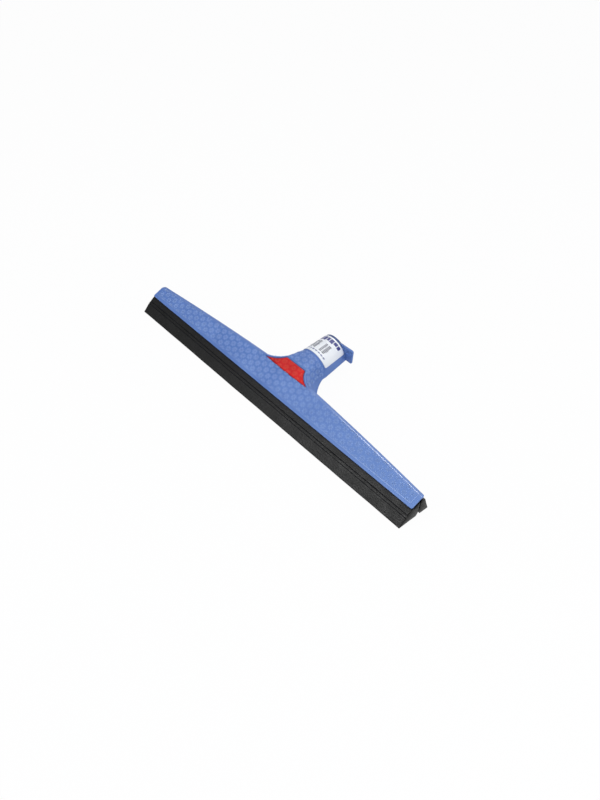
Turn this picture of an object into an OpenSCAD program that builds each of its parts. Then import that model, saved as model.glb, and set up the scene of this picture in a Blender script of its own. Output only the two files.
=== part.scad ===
// Floor squeegee head: a moulded housing with a handle socket over two foam rubber lips.
// X runs along the blade, -Y is the front, +Y the socket side and +Z is up.
// The origin lies on the floor, in the middle of the head's length and depth.

/* [Blade] */
// Length of the two foam lips
blade_len = 400; // [300:5:600]
// Length of lip that shows past each end of the housing
blade_overhang = 1.8; // [0:0.1:4]
// Height of the lips below the housing's front edge
lip_h = 15.6; // [13:0.1:20]
// How far the front lip leans out ahead of the housing's front edge
front_lip_reach = 14.4; // [8:0.1:18]
// Width of the front lip on the floor
front_lip_w = 23.7; // [18:0.1:24]
// Width of the gap between the lips on the floor
notch_w = 5.2; // [4:0.1:8]
// Height of the gap between the lips
notch_h = 4; // [2:0.1:6]
// Width of the rear lip on the floor
rear_lip_w = 11.3; // [8:0.1:14]
// Width of the two lines pressed into the front lip
groove_w = 0.9; // [0.5:0.1:1.2]
// Depth of the two lines pressed into the front lip
groove_d = 0.5; // [0.2:0.1:0.8]

/* [Housing] */
// Slope of the front panel above the floor, in degrees
panel_slope = 26.7; // [22:0.1:30]
// Width of the front panel, up its slope, at the neck
panel_mid_w = 27; // [25:0.5:30]
// Width of the front panel, up its slope, at each end
panel_end_w = 14.3; // [14:0.1:18]
// Length of the full-width middle of the panel
panel_mid_len = 69; // [64:1:84]
// Outward bow of each wing's upper edge
panel_bow = 0.8; // [0:0.1:1.5]
// Wall thickness of the panel
wall = 2.4; // [2:0.1:3]
// Depth of the rear channel wall and of the skirt round the back of the wings
web_t = 1.6; // [1.2:0.1:2]
// Length of the band that turns over behind the panel's upper edge
band_l = 5.2; // [5:0.1:6]
// Height of the skirt round the back of the wings
skirt_h = 4.4; // [3.5:0.1:6]
// Distance between the ribs under the panel
rib_pitch = 30; // [24:1:44]
// Thickness of each rib
rib_t = 1.6; // [1.2:0.1:2.2]

/* [Neck and socket] */
// Tilt of the handle socket above the floor, in degrees
socket_tilt = 14.2; // [12:0.1:17]
// Distance from the panel's upper edge to the socket's mouth, along the socket
neck_len = 71.4; // [68:0.2:80]
// Length of the straight socket behind the label
socket_len = 33; // [30:1:36]
// Outer radius of the socket's rounded front at the mouth
socket_r = 15.3; // [14.8:0.1:17]
// Growth of the socket's radius for each millimetre towards the blade
socket_draft = 0.083; // [0.06:0.001:0.1]
// Half width across the socket's flat sides at the mouth
socket_flat = 14.8; // [14:0.1:15.2]
// Distance from the socket's axis to its flat back
socket_back = 13.6; // [13:0.1:15]
// Radius of the hole for the handle
bore_r = 11.2; // [10:0.1:11.8]
// Depth of the hole for the handle
bore_len = 45; // [36:1:46]
// Wall thickness of the hollow neck
neck_wall = 3; // [2.6:0.1:3.6]
// How far the neck spreads, measured from the middle, where it meets the panel
neck_spread = 44; // [42:0.5:48]

/* [Hanging tab] */
// How far the tab reaches from the socket's axis
tab_reach = 28; // [24:0.1:32]
// Height of the tab across the socket's mouth
tab_h = 22.4; // [18:0.1:24]
// How far the tab's middle sits above the socket's axis
tab_lift = 1.8; // [0:0.1:2]
// Thickness of the tab
tab_t = 2.4; // [1.8:0.1:3.5]
// Radius of the tab's outer corners
tab_corner = 1.8; // [1:0.1:3]
// Radius of the hanging hole in the tab
tab_hole_r = 1.7; // [1.2:0.1:2]

/* [Insert and label] */
// Half width of the coloured insert at its lower edge
insert_low_half = 32.5; // [26:0.5:33]
// Half width of the coloured insert at its upper edge
insert_top_half = 14.2; // [10:0.1:15]
// Height of the coloured insert along the neck
insert_len = 15; // [12:0.5:17]
// Thickness of the coloured insert
insert_t = 1; // [0.8:0.1:1.2]
// How far the insert sits below the neck's surface
insert_sunk = 0.6; // [0.3:0.1:0.8]
// Thickness of the label
label_t = 0.25; // [0.2:0.05:0.4]
// Width of bare socket left between the label and the mouth
label_margin = 1.2; // [0.8:0.1:4]
// Height of the label's lower edges above the socket's axis, at the mouth
label_edge = 1.2; // [1:0.1:4]

/* [Hidden] */
$fn = 96;

slope_run = cos(panel_slope);
slope_rise = sin(panel_slope);
tilt_run = cos(socket_tilt);
tilt_rise = sin(socket_tilt);

// The housing's lowest front corner, which the sizes of the section start from
low_y = -8.25;
low_z = lip_h + wall * slope_run;
under_y = low_y + wall * slope_rise;

// The blade's channel
web_y = 7.6;
channel_z = lip_h + 3.8;
carrier_t = 1.5;
carrier_z = channel_z + carrier_t;
web_low = lip_h + 3;
housing_half = blade_len / 2 - blade_overhang;
mid_half = panel_mid_len / 2;
band_slope = 16;
end_relief = 4;
relief_skirt = 1.2;

// The socket's frame: its axis starts at the mouth and runs back to the panel's upper edge
crest_m = socket_r + socket_draft * neck_len;
mouth_y = low_y + panel_mid_w * slope_run + neck_len * tilt_run + crest_m * tilt_rise;
mouth_z = low_z + panel_mid_w * slope_rise + neck_len * tilt_rise - crest_m * tilt_run;

front_y = under_y - front_lip_reach;
back_y = mouth_y + socket_back * tilt_rise;
mid_y = (front_y + back_y) / 2;

// Rounds along the panel's upper edge, and the wing's sections
ridge_r = 2.4;
heel_r = 1.2;
wing_steps = 9;
inner_lap = 0.2;

// The neck's sections: shoulder sets the neck below the socket's round, and the corner is drawn in before
// it spreads out to the panel
neck_steps = 14;
shoulder = 0.3;
socket_low_r = socket_r + socket_draft * socket_len;
neck_low_r = socket_low_r - shoulder;
corner_draw = 11.5;
corner_back = 6.5;
corner_power = 3.45;
corner_steps = 6;
corner_least = 1;
flat_least = 0.8;
round_power = 1.9;
round_end = 2.6;
foot_in = 0.8;
foot_power = 1.65;
foot_low = 0.7;
foot_lift = 1.6;
foot_rise = 15.4;
foot_rise_power = 5;
neck_lap = 1;
neck_past = 5;
neck_end_sunk = 0.3;
bore_floor = 3;

// The socket's flat sides and back, and how its back runs out into the neck
side_draft = 0.93;
back_draft = 0.05;
flat_corner = 3;
run_out = 12;
run_in = 2;
bore_lead = 1.2;

// The tab's root inside the socket's wall, the lean of its outer edge and the place of its hole
tab_root = 0.45 * socket_r;
tab_lean = 3.4;
tab_hole_in = 7.5;
tab_hole_y = 7;

// The face of the front lip bends at a share of its way down, and the two lines lie either side of it
lip_bend = 0.42;
lip_bulge = 1.1;
groove_part = 0.045;

// The seam between the lips and the carrier's keel, which parts them above it
fit_gap = 0.15;
seam_y = web_y - 3.7;
seam_half = 0.2;
keel_half = 0.9;
keel_z = 0.6 * lip_h;
rear_lap = 0.9;
carrier_low_y = under_y + 2.2;

// The insert's outline, its pocket and its two posts
insert_gap = 0.15;
insert_depth = insert_sunk + insert_t;
insert_edge = 0.2;
insert_power = 2.6;
insert_swell = 2.4;
insert_bulge = 0.7;
insert_steps = 8;
slab_run = 5;
post_r = 1.5;
post_gap = 0.1;
post_x = 9;
post_back = 7;
post_past = 2;

// The label's seat on the socket
label_gap = 0.08;
label_end = 0.3;
label_rise = 6;

// Ribs: the outermost stays clear of the housing's end, and each ends inside the wall it stands on
rib_end = 8;
rib_in = 2;

// A length that clears the housing on any side
past = 40;

// A point on the panel: u up the slope from its lower edge, d below its surface
function panel_pt(u, d = 0) =
    [low_y + u * slope_run + d * slope_rise, low_z + u * slope_rise - d * slope_run];

// The height of the panel's underside at a distance y
function under_z(y) = lip_h + (y - under_y) * tan(panel_slope);

// Points on an arc about c from angle a0 to a1
function arc(c, r, a0, a1, n = 4) =
    [for (i = [0 : n]) let (a = a0 + (a1 - a0) * i / n) [c[0] + r * cos(a), c[1] + r * sin(a)]];

// Width of the panel, up its slope, at a distance x from the middle
function panel_w(x) =
    let (t = max(0, (abs(x) - mid_half) / (housing_half - mid_half)))
    panel_mid_w + (panel_end_w - panel_mid_w) * t + 4 * panel_bow * t * (1 - t);

// The ridge where the panel turns over into the band along its upper edge
function ridge(x) = panel_pt(panel_w(x));
function band_end(x) = ridge(x) + band_l * [cos(band_slope), -sin(band_slope)];
function skirt(x) = abs(x) > housing_half - end_relief / 2 ? relief_skirt : skirt_h;

// Stations along the housing, closer together where the outline changes
relief_x = housing_half - end_relief;
wing_x = concat([for (i = [0 : wing_steps]) mid_half + (relief_x - mid_half) * i / wing_steps], [housing_half]);
stations = concat([for (i = [wing_steps + 1 : -1 : 0]) -wing_x[i]], wing_x);

// The arc that rounds the ridge, and the smaller one that rounds the band into the skirt
function ridge_arc(x, grow = 0) =
    let (
        turn = (panel_slope + band_slope) / 2,
        r = ridge_r - grow,
        p = ridge(x),
        c = [
            p[0] + ridge_r * (slope_rise - tan(turn) * slope_run),
            p[1] - ridge_r * (slope_run + tan(turn) * slope_rise)
        ]
    )
    arc(c, r, 90 + panel_slope, 90 - band_slope, 3);
function heel_arc(x) =
    let (p = band_end(x), turn = (90 - band_slope) / 2, c = [p[0] - heel_r, p[1] - heel_r * tan(turn)])
    arc(c, heel_r, 90 - band_slope, 0, 2);

function wing_outer(x) =
    concat(
        [panel_pt(0)],
        ridge_arc(x),
        heel_arc(x),
        [[band_end(x)[0], band_end(x)[1] - skirt(x)], [under_y, lip_h]]
    );
function wing_inner(x) =
    let (e = band_end(x), top = ridge_arc(x, wall))
    concat(
        [panel_pt(-inner_lap, wall), top[0], top[3]],
        [
            [e[0] - web_t, top[3][1] - (e[0] - web_t - top[3][0]) * tan(band_slope)],
            [e[0] - web_t, -past],
            [panel_pt(-inner_lap, wall)[0], -past]
        ]
    );

// A solid through a list of rings of 3D points, all with the same number of points
module loft(rings) {
    n = len(rings[0]);
    last = len(rings) - 1;
    sides = [
        for (i = [0 : last - 1]) for (j = [0 : n - 1])
            let (a = i * n + j, b = i * n + (j + 1) % n, c = a + n, d = b + n)
            each [[a, b, c], [b, d, c]]
    ];
    caps = [[for (j = [n - 1 : -1 : 0]) j], [for (j = [0 : n - 1]) last * n + j]];
    polyhedron([for (r = rings) each r], concat(sides, caps), convexity = 8);
}

module wing_loft(kind, grow = 0) {
    rings = [
        for (x = stations)
            let (at = x * (housing_half + grow) / housing_half, ring = kind == "outer" ? wing_outer(x) : wing_inner(x))
            [for (p = ring) [at, p[0], p[1]]]
    ];
    loft(rings);
}

// The neck's sections: s is 0 at the socket and 1 where the neck meets the panel
function spread(a) = min(1, max(0, (a - socket_len) / (neck_len - socket_len)));
function crest(a) =
    a <= neck_len ? socket_r + socket_draft * a : crest_m - (a - neck_len) * tan(panel_slope - socket_tilt);
function corner_x(s) =
    neck_low_r - corner_draw * s + (neck_spread - corner_back + corner_draw - neck_low_r) * pow(s, corner_power);
function corner_r(s) = neck_low_r * pow(1 - s, round_power) + round_end * s;
function foot_x(s) = neck_low_r - foot_in + (neck_spread + foot_in - neck_low_r) * pow(s, foot_power);
function foot_y(s) = foot_lift * s - foot_low * socket_back + foot_rise * pow(s, foot_rise_power);

// One section at a distance a from the mouth: a top that rounds over into sloping sides.
// inset draws it in all round, and drop carries its sides further down
function neck_section(a, inset = 0, drop = 0, sunk = 0) =
    let (
        s = spread(a),
        h = crest(a) - inset - sunk - shoulder * pow(1 - s, 3),
        c = corner_x(s) - inset,
        e = foot_y(s),
        g = atan((foot_x(s) - inset - c) / (h - e)),
        r = min(max(corner_least, corner_r(s) - inset), (c - flat_least) / tan((90 - g) / 2)),
        low = e - drop,
        foot = c + (h - low) * tan(g),
        centre = [c - r * tan((90 - g) / 2), h - r],
        side = arc(centre, r, g, 90, corner_steps),
        other = [for (i = [corner_steps : -1 : 0]) [-side[i][0], side[i][1]]]
    )
    concat([[foot, low]], side, other, [[-foot, low]]);

module neck_loft(from, to, inset = 0, drop = 0, end_sunk = 0) {
    rings = [
        for (i = [0 : neck_steps])
            let (a = from + (to - from) * i / neck_steps, sunk = a > neck_len ? end_sunk : 0)
            [for (p = neck_section(a, inset, drop, sunk)) [p[0], p[1], -a]]
    ];
    loft(rings);
}

// Places what is drawn in the socket's frame: Y up from the axis, Z out of the mouth and X towards -X
module in_socket_frame() {
    translate([0, mouth_y, mouth_z]) rotate([socket_tilt - 90, 0, 0]) rotate([0, 0, 180]) children();
}

module placed() {
    translate([0, -mid_y, 0]) children();
}

// Draws a section in the YZ plane and runs it along X
module along_x(length) {
    rotate([90, 0, 90]) linear_extrude(length, center = true) children();
}

// The outline of the insert, seen square to the socket's axis, with its Y towards the mouth.
// t runs from 0 at its upper corner to 1 at the tip of its lower edge
function insert_side(t) =
    [
        insert_top_half + (insert_low_half - insert_top_half) * pow(t, insert_power) + insert_swell * sin(180 * t),
        insert_len * (1 - t) + insert_edge - neck_len
    ];
module insert_outline(grow = 0) {
    n = insert_steps;
    side = [for (i = [0 : n]) insert_side(i / n) + [grow, i == 0 ? grow : (i == n ? -grow : 0)]];
    tip = side[n];
    low = [for (i = [1 : n - 1]) tip + [-2 * tip[0] * i / n, -insert_bulge * sin(180 * i / n)]];
    polygon(concat(side, low, [for (i = [n : -1 : 0]) [-side[i][0], side[i][1]]]));
}
module insert_prism(grow = 0) {
    // The outline lies along X and Z in the socket's frame and rises along Y
    rotate([90, 0, 0]) mirror([0, 0, 1]) linear_extrude(past) insert_outline(grow);
}
// The slab between two depths below the neck's flat top, which bends where the neck meets the panel
module top_slab(from, to) {
    ends = [neck_len - insert_len - slab_run, neck_len, neck_len + slab_run];
    upper = [for (a = ends) [crest(a) - from, -a]];
    lower = [for (i = [2 : -1 : 0]) [crest(ends[i]) - to, -ends[i]]];
    along_x(2 * past) polygon(concat(upper, lower));
}
module insert_posts(r, from, to) {
    for (x = [-post_x, post_x])
        translate([x, from, -(neck_len - post_back)]) rotate([-90, 0, 0]) cylinder(h = to - from, r = r, $fn = 32);
}

module socket_solid() {
    intersection() {
        translate([0, 0, -socket_len]) cylinder(h = socket_len, r1 = socket_low_r, r2 = socket_r);
        loft([for (a = [0, socket_len]) [for (p = flat_section(a, past)) [p[0], p[1], -a]]]);
    }
    ends = [[0, 0], [socket_len, 0], [socket_len + run_out, run_in]];
    loft([for (e = ends) [for (p = flat_section(e[0], 1, e[1])) [p[0], p[1], -e[0]]]]);
}

// The socket's flat sides and back, with its rounded lower corners, up to a height top.
// raised lifts the back, where it runs out into the neck
function flat_section(a, top, raised = 0) =
    let (
        w = socket_flat + side_draft * socket_draft * a - raised / 2,
        b = socket_back - back_draft * a - raised,
        r = flat_corner
    )
    concat([[-w, top]], arc([r - w, r - b], r, 180, 270), arc([w - r, r - b], r, 270, 360), [[w, top]]);

module socket_bore() {
    translate([0, 0, -bore_len]) cylinder(h = bore_len + 1, r = bore_r);
    translate([0, 0, -bore_lead]) cylinder(h = bore_lead + 0.01, r1 = bore_r, r2 = bore_r + bore_lead);
}

module tab() {
    top = tab_lift + tab_h / 2;
    low = tab_lift - tab_h / 2;
    translate([0, 0, -tab_t]) mirror([1, 0, 0])
        linear_extrude(tab_t)
            difference() {
                polygon(concat(
                    [[tab_root, top]],
                    arc([tab_reach - tab_corner, top - tab_corner], tab_corner, 90, 0),
                    arc([tab_reach - tab_lean - tab_corner, low + tab_corner], tab_corner, 0, -90),
                    [[tab_root, low]]
                ));
                translate([tab_reach - tab_hole_in, tab_hole_y]) circle(r = tab_hole_r, $fn = 32);
            }
}

// The rear wall of the blade's channel and the ribs across the wings, which end inside the panel's wall
module wing_ribs() {
    intersection() {
        translate([0, -wall / 4, -wall / 2]) wing_loft("outer");
        union() {
            translate([-relief_x, web_y, web_low]) cube([2 * relief_x, web_t, past]);
            ribs = floor((housing_half - rib_end) / rib_pitch);
            for (i = [-ribs : ribs])
                translate([i * rib_pitch - rib_t / 2, low_y + rib_in, carrier_z]) cube([rib_t, past, past]);
        }
    }
}

// The ribs down the hollow neck, which end inside its wall
module neck_ribs() {
    intersection() {
        neck_loft(bore_len, neck_len + neck_past - 1, neck_wall / 2, -1);
        for (x = [-rib_pitch / 2, 0, rib_pitch / 2])
            translate([x - rib_t / 2, -past, -neck_len - bore_floor])
                cube([rib_t, 2 * past, neck_len + bore_floor - bore_len - neck_lap]);
    }
}

module housing() {
    color([0.40, 0.50, 0.75])
    placed() {
        difference() {
            union() {
                difference() {
                    union() {
                        difference() {
                            wing_loft("outer");
                            wing_loft("inner", 1);
                        }
                        in_socket_frame() neck_loft(socket_len - neck_lap, neck_len + neck_past, end_sunk = neck_end_sunk);
                    }
                    in_socket_frame() neck_loft(bore_len + bore_floor, neck_len + 2 * neck_past - 1, neck_wall, past);
                }
                wing_ribs();
                in_socket_frame() {
                    neck_ribs();
                    socket_solid();
                    tab();
                }
            }
            in_socket_frame() {
                socket_bore();
                intersection() {
                    insert_prism(insert_gap);
                    top_slab(-2 * insert_depth, insert_depth);
                }
                insert_posts(post_r + post_gap, 0, past);
            }
        }
    }
}

// The two pressed lines lie either side of the slight bend in the front lip's face
module front_lip() {
    top = [under_y - fit_gap, lip_h - fit_gap];
    tip = [front_y, 0];
    lean = (tip - top) / norm(tip - top);
    out = [lean[1], -lean[0]];
    face = norm(tip - top);
    function on_face(t) =
        top + (tip - top) * t + out * lip_bulge * (t < lip_bend ? t / lip_bend : (1 - t) / (1 - lip_bend));
    function groove(t) =
        let (w = groove_w / face / 2)
        [on_face(t - w), on_face(t - w) - out * groove_d, on_face(t + w) - out * groove_d, on_face(t + w)];
    in_y = seam_y - seam_half;
    keel_y = seam_y - keel_half;
    color([0.17, 0.17, 0.17])
    placed() along_x(blade_len)
        polygon(concat(
            [top],
            groove(lip_bend - groove_part),
            groove(lip_bend + groove_part),
            [
                tip,
                [front_y + front_lip_w, 0],
                [in_y, notch_h],
                [in_y, keel_z],
                [keel_y, keel_z],
                [keel_y, plate_z(keel_y)],
                [carrier_low_y, plate_z(carrier_low_y)],
                [carrier_low_y, under_z(carrier_low_y) - fit_gap]
            ]
        ));
}

module rear_lip() {
    low = front_y + front_lip_w + notch_w;
    in_y = seam_y + seam_half;
    keel_y = seam_y + keel_half;
    color([0.17, 0.17, 0.17])
    placed() along_x(blade_len)
        polygon([
            [low, 0],
            [low + rear_lip_w, 0],
            [web_y + web_t + rear_lap, web_low],
            [web_y, web_low],
            [web_y, channel_z],
            [keel_y, channel_z],
            [keel_y, keel_z],
            [in_y, keel_z],
            [in_y, notch_h]
        ]);
}

// The hidden strip that both lips are bonded to: a bent plate with a web that parts the lips
function y_at(z) = under_y + (z + fit_gap - lip_h) / tan(panel_slope);
function plate_z(y) = min(channel_z, under_z(y) - fit_gap - carrier_t / slope_run);
module lip_carrier() {
    in_y = seam_y - keel_half;
    bend_y = y_at(channel_z + carrier_t / slope_run);
    color([0.30, 0.31, 0.33])
    placed() along_x(2 * relief_x)
        polygon([
            [web_y, channel_z],
            [web_y, carrier_z],
            [y_at(carrier_z), carrier_z],
            [carrier_low_y, under_z(carrier_low_y) - fit_gap],
            [carrier_low_y, plate_z(carrier_low_y)],
            [min(in_y, bend_y), plate_z(min(in_y, bend_y))],
            [in_y, plate_z(in_y)],
            [in_y, keel_z],
            [seam_y + keel_half, keel_z],
            [seam_y + keel_half, channel_z]
        ]);
}

module accent_insert() {
    color([0.76, 0.20, 0.20])
    placed() in_socket_frame() {
        intersection() {
            insert_prism();
            top_slab(insert_sunk, insert_depth);
        }
        insert_posts(post_r, crest_m - neck_wall - post_past, crest_m - insert_depth);
    }
}

// A paper label wrapped round the socket's rounded front, down to the edges of its flat sides
module socket_label() {
    low = socket_len - label_end;
    r_mouth = socket_r + socket_draft * label_margin + label_gap;
    r_low = socket_r + socket_draft * low + label_gap;
    color([0.90, 0.92, 0.94])
    placed() in_socket_frame()
        difference() {
            rotate([0, 0, 0.5]) rotate_extrude(angle = 179)
                polygon([
                    [r_low, -low],
                    [r_low + label_t, -low],
                    [r_mouth + label_t, -label_margin],
                    [r_mouth, -label_margin]
                ]);
            translate([0, label_edge, 0]) rotate([label_rise, 0, 0])
                translate([-past, -past, -2 * past]) cube([2 * past, past, 3 * past]);
        }
}

housing();
front_lip();
rear_lip();
lip_carrier();
accent_insert();
socket_label();
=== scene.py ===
import math
import random

import bmesh
import bpy
import numpy as np
from mathutils import Matrix, Vector
from mathutils.bvhtree import BVHTree


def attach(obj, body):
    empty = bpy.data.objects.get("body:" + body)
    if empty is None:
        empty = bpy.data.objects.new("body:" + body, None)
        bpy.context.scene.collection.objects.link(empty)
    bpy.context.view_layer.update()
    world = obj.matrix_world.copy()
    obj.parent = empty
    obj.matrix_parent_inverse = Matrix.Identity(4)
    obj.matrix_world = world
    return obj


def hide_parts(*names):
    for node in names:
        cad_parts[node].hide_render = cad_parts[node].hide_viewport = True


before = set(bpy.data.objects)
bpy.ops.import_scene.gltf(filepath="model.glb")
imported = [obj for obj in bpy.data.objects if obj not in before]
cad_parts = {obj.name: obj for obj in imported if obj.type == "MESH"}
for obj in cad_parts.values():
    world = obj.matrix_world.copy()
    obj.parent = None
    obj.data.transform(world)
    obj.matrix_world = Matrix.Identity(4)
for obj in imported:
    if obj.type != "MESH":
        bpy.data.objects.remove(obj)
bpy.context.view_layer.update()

# Sizes of the head in millimetres, the same values that the solids are built from
MM = 0.001
LIP_H = 15.6
LIP_REACH = 14.4
FRONT_LIP_W = 23.7
NOTCH_W = 5.2
NOTCH_H = 4.0
REAR_LIP_W = 11.3
WALL = 2.4
LOW_Y = -8.25
WEB_Y = 7.6
WEB_T = 1.6
WEB_LOW = LIP_H + 3
CHANNEL_Z = LIP_H + 3.8
PANEL_MID_W = 27.0
PANEL_END_W = 14.3
PANEL_BOW = 0.8
MID_HALF = 69 / 2
BLADE_HALF = 200.0
HOUSING_HALF = BLADE_HALF - 1.8
NECK_LEN = 71.4
SOCKET_LEN = 33.0
SOCKET_R = 15.3
SOCKET_DRAFT = 0.083
SOCKET_BACK = 13.6
BORE_R = 11.2
NECK_SPREAD = 44.0
SHOULDER = 0.3
CORNER_DRAW = 11.5
CORNER_BACK = 6.5
CORNER_POWER = 3.45
CORNER_LEAST = 1.0
FLAT_LEAST = 0.8
ROUND_POWER = 1.9
ROUND_END = 2.6
FOOT_IN = 0.8
FOOT_POWER = 1.65
FOOT_LOW = 0.7
FOOT_LIFT = 1.6
FOOT_RISE = 15.4
FOOT_RISE_POWER = 5
INSERT_SUNK = 0.6
INSERT_LEN = 15.0
INSERT_LOW_HALF = 32.5
INSERT_TOP_HALF = 14.2
INSERT_POWER = 2.6
INSERT_SWELL = 2.4
INSERT_BULGE = 0.7
INSERT_EDGE = 0.2
INSERT_T = 1.0
RIDGE_R = 2.4
BAND_L = 5.2
BAND_SLOPE = math.radians(16)
POST_R = 1.5
POST_X = 9.0
POST_BACK = 7.0
POST_PAST = 2.0
NECK_WALL = 3.0
SLOPE = math.radians(26.7)
TILT = math.radians(14.2)

UNDER_Y = LOW_Y + WALL * math.sin(SLOPE)
LOW_Z = LIP_H + WALL * math.cos(SLOPE)
CREST_M = SOCKET_R + SOCKET_DRAFT * NECK_LEN
MOUTH_Y = LOW_Y + PANEL_MID_W * math.cos(SLOPE) + NECK_LEN * math.cos(TILT) + CREST_M * math.sin(TILT)
MOUTH_Z = LOW_Z + PANEL_MID_W * math.sin(SLOPE) + NECK_LEN * math.sin(TILT) - CREST_M * math.cos(TILT)
FRONT_Y = UNDER_Y - LIP_REACH
MID_Y = (FRONT_Y + MOUTH_Y + SOCKET_BACK * math.sin(TILT)) / 2
MOUTH = np.array([0.0, MOUTH_Y - MID_Y, MOUTH_Z])
OUT = np.array([0.0, math.cos(TILT), math.sin(TILT)])
UP = np.array([0.0, -math.sin(TILT), math.cos(TILT)])


# The camera stands where the photograph was taken from, worked out from the blade's and the socket's edges
CAMERA_AT = (0.4375, -0.4620, 0.5695)
CAMERA_TURN = math.radians(43.0)
CAMERA_DIP = math.radians(42.91)
CAMERA_ROLL = math.radians(6.65)


def make_camera():
    data = bpy.data.cameras.new("camera")
    data.lens = 36
    data.sensor_width = 36
    data.clip_start = 0.01
    camera = bpy.data.objects.new("camera", data)
    bpy.context.scene.collection.objects.link(camera)
    aim = Vector((
        -math.sin(CAMERA_TURN) * math.cos(CAMERA_DIP),
        math.cos(CAMERA_TURN) * math.cos(CAMERA_DIP),
        -math.sin(CAMERA_DIP),
    ))
    turn = aim.to_track_quat("-Z", "Y").to_matrix().to_4x4()
    camera.matrix_world = Matrix.Translation(CAMERA_AT) @ turn @ Matrix.Rotation(CAMERA_ROLL, 4, "Z")
    bpy.context.scene.camera = camera


# Building blocks

def clamp(share):
    return max(0.0, min(1.0, share))


def srgb(r, g, b):
    """A colour as the nodes take it, from its sRGB values."""
    def linear(c):
        c /= 255
        return c / 12.92 if c <= 0.04045 else ((c + 0.055) / 1.055) ** 2.4
    return (linear(r), linear(g), linear(b), 1.0)


def tube_faces(rings, count):
    """The quads between neighbouring rings of count points each."""
    faces = []
    for i in range(rings - 1):
        for k in range(count):
            a, b = i * count + k, i * count + (k + 1) % count
            faces.append((a, b, b + count, a + count))
    return faces


def closed_tube(rings, count):
    """The faces of a tube of such rings, closed at both ends."""
    last = (rings - 1) * count
    return tube_faces(rings, count) + [tuple(range(count))[::-1], tuple(range(last, last + count))]


def add_piece(name, verts, faces, material):
    """A new visible piece, from points in metres and the faces between them."""
    mesh = bpy.data.meshes.new(name)
    mesh.from_pydata([tuple(float(c) for c in v) for v in verts], [], faces)
    mesh.validate()
    mesh.update()
    return finish_piece(name, mesh, material)


def dress(mesh, material):
    """Gives a mesh its one material and smooth shading."""
    mesh.materials.clear()
    mesh.materials.append(material)
    mesh.polygons.foreach_set("use_smooth", [True] * len(mesh.polygons))


def finish_piece(name, mesh, material):
    """Puts a mesh into the scene as a piece, with its material and body."""
    obj = bpy.data.objects.new(name, mesh)
    bpy.context.scene.collection.objects.link(obj)
    dress(mesh, material)
    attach(obj, "root")
    return obj


def apply_modifiers(obj):
    """Bakes an object's modifiers into its mesh."""
    depsgraph = bpy.context.evaluated_depsgraph_get()
    mesh = bpy.data.meshes.new_from_object(obj.evaluated_get(depsgraph))
    old = obj.data
    obj.modifiers.clear()
    obj.data = mesh
    bpy.data.meshes.remove(old)


def turn_outward(mesh):
    """Points a closed mesh's faces outward, and splits its many-sided end faces into triangles."""
    work = bmesh.new()
    work.from_mesh(mesh)
    bmesh.ops.recalc_face_normals(work, faces=work.faces)
    bmesh.ops.triangulate(work, faces=[f for f in work.faces if len(f.verts) > 4])
    work.to_mesh(mesh)
    work.free()


class Nodes:
    """A short way to write a material's node tree."""

    def __init__(self, name):
        self.material = bpy.data.materials.new(name)
        self.material.use_nodes = True
        self.tree = self.material.node_tree
        self.shader = self.tree.nodes["Principled BSDF"]
        self.place = self.tree.nodes.new("ShaderNodeTexCoord").outputs["Object"]

    def add(self, kind, **inputs):
        node = self.tree.nodes.new("ShaderNode" + kind)
        for key, value in inputs.items():
            if hasattr(node, key) and not isinstance(value, bpy.types.NodeSocket):
                setattr(node, key, value)
            else:
                self.feed(node, key.replace("_", " "), value)
        return node

    def feed(self, node, key, value):
        socket = node.inputs[int(key[1:])] if key[0] == "i" and key[1:].isdigit() else node.inputs[key]
        if isinstance(value, bpy.types.NodeSocket):
            self.tree.links.new(value, socket)
        else:
            socket.default_value = value

    def noise(self, scale, detail):
        return self.add("TexNoise", Vector=self.place, Scale=scale, Detail=detail).outputs["Fac"]

    def ramp(self, fac, *stops):
        node = self.add("ValToRGB")
        self.tree.links.new(fac, node.inputs["Fac"])
        while len(node.color_ramp.elements) < len(stops):
            node.color_ramp.elements.new(0.5)
        for element, (at, color) in zip(node.color_ramp.elements, stops):
            element.position = at
            element.color = color
        return node.outputs["Color"]

    def grey(self, fac, *stops):
        return self.ramp(fac, *[(at, (v, v, v, 1)) for at, v in stops])

    def mix(self, fac, a, b):
        node = self.tree.nodes.new("ShaderNodeMix")
        node.data_type = "RGBA"
        self.feed(node, "i0", fac)
        self.feed(node, "i6", a)
        self.feed(node, "i7", b)
        return node.outputs[2]

    def math(self, operation, a, b=0.0):
        return self.add("Math", operation=operation, i0=a, i1=b).outputs[0]

    def bump(self, height, distance, strength, under=None):
        node = self.add("Bump", Height=height, Distance=distance, Strength=strength)
        if under is not None:
            self.tree.links.new(under, node.inputs["Normal"])
        return node.outputs["Normal"]

    def crevice_shade(self, color, dark, reach):
        """Paints shade into a colour: darkens it towards dark in gaps and corners narrower than reach, where
        shade falls.
        """
        open_sky = self.add("AmbientOcclusion", samples=8, Distance=reach).outputs["AO"]
        return self.mix(self.grey(open_sky, (0.35, 1.0), (0.85, 0.0)), color, dark)

    def link(self, value, key):
        self.tree.links.new(value, self.shader.inputs[key])


PLASTIC_IOR = 1.49
POLISH_ROUGHNESS = 0.27
RIM_SHADE = 0.82
# How far the painted shade in gaps and corners reaches, in metres
PLASTIC_SHADE_REACH = 0.0016
FOAM_SHADE_REACH = 0.0026
FOAM_GLOSS = 0.1


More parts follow.
